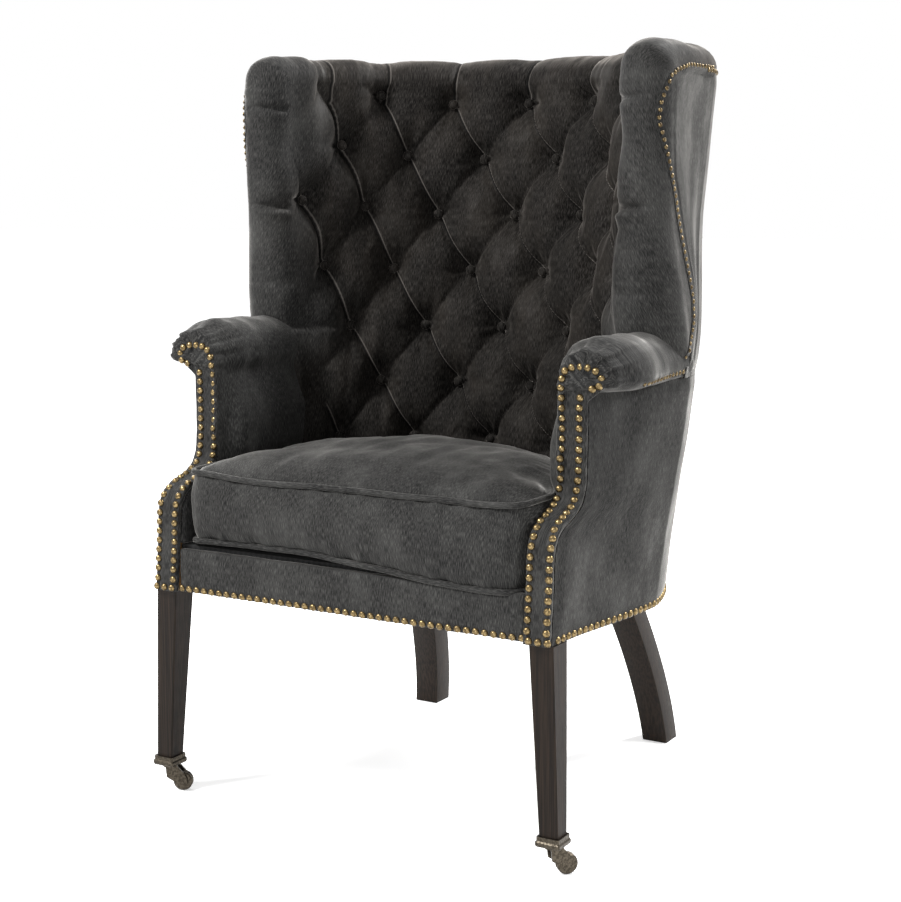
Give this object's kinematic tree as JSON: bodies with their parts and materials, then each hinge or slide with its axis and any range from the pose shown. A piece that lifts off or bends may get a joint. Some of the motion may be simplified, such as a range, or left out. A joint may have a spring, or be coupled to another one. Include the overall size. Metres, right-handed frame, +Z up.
{
  "type": "upholstered wing armchair",
  "caption": "Barrel-backed wing armchair with a button-tufted back, scroll arms, a loose seat cushion, sabre rear legs and front casters.",
  "frame": {"origin": "on the floor under the middle of the chair's plan", "axes": "+Z up, the chair's front towards -Y, +X to the right of someone who faces the chair"},
  "size_m": [0.772, 0.681, 1.132],
  "materials": {
    "velvet": "cut velvet pile, charcoal",
    "tufted_velvet": "cut velvet pile, charcoal, drawn in by buttons",
    "frame_wood": "planed hardwood",
    "leg_wood": "dark stained hardwood, satin",
    "jute": "woven jute",
    "lining": "plain woven cotton, black",
    "aged_brass": "antiqued, rubbed bright on the edges"
  },
  "bodies": {
    "root": {"front_seat_rail": "frame_wood", "rear_seat_rail": "frame_wood", "crest_rail": "frame_wood", "tack_rail": "frame_wood", "seat_webbing": "jute", "seat_deck": "lining", "dust_cover": "lining", "back_burlap": "jute", "tufted_back": "tufted_velvet", "outside_back": "velvet", "front_band": "velvet", "side_seat_rail_right": "frame_wood", "side_seat_rail_left": "frame_wood", "front_corner_block_right": "frame_wood", "front_corner_block_left": "frame_wood", "arm_post_right": "frame_wood", "arm_post_left": "frame_wood", "arm_rail_right": "frame_wood", "arm_rail_left": "frame_wood", "back_stile_right": "frame_wood", "back_stile_left": "frame_wood", "wing_post_right": "frame_wood", "wing_post_left": "frame_wood", "inside_arm_right": "velvet", "inside_arm_left": "velvet", "wing_roll_right": "velvet", "wing_roll_left": "velvet", "arm_facing_right": "velvet", "arm_facing_left": "velvet", "outside_arm_right": "velvet", "outside_arm_left": "velvet", "outside_wing_right": "velvet", "outside_wing_left": "velvet", "front_leg_right": "leg_wood", "front_leg_left": "leg_wood", "rear_leg_right": "leg_wood", "rear_leg_left": "leg_wood", "caster_cup_right": "aged_brass", "caster_cup_left": "aged_brass"},
    "cushion": {"seat_cushion": "velvet"},
    "swivel_right": {"caster_horn_right": "aged_brass", "caster_axle_right": "aged_brass"},
    "wheel_right": {"caster_wheel_right": "aged_brass"},
    "swivel_left": {"caster_horn_left": "aged_brass", "caster_axle_left": "aged_brass"},
    "wheel_left": {"caster_wheel_left": "aged_brass"}
  },
  "joints": [
    {"name": "cushion_lift", "type": "slide", "parent": "root", "child": "cushion", "axis": [0, 0, 1], "range_m": [0, 0.25]},
    {"name": "caster_swivel_right", "type": "hinge", "parent": "root", "child": "swivel_right", "pos_m": [0.332, -0.31852, 0.04], "axis": [0, 0, 1], "continuous": true},
    {"name": "caster_spin_right", "type": "hinge", "parent": "swivel_right", "child": "wheel_right", "pos_m": [0.34564, -0.30389, 0.015], "axis": [-0.7314, 0.682, 0], "continuous": true},
    {"name": "caster_swivel_left", "type": "hinge", "parent": "root", "child": "swivel_left", "pos_m": [-0.332, -0.31852, 0.04], "axis": [0, 0, 1], "continuous": true},
    {"name": "caster_spin_left", "type": "hinge", "parent": "swivel_left", "child": "wheel_left", "pos_m": [-0.31434, -0.30913, 0.015], "axis": [-0.4695, 0.8829, 0], "continuous": true}
  ]
}
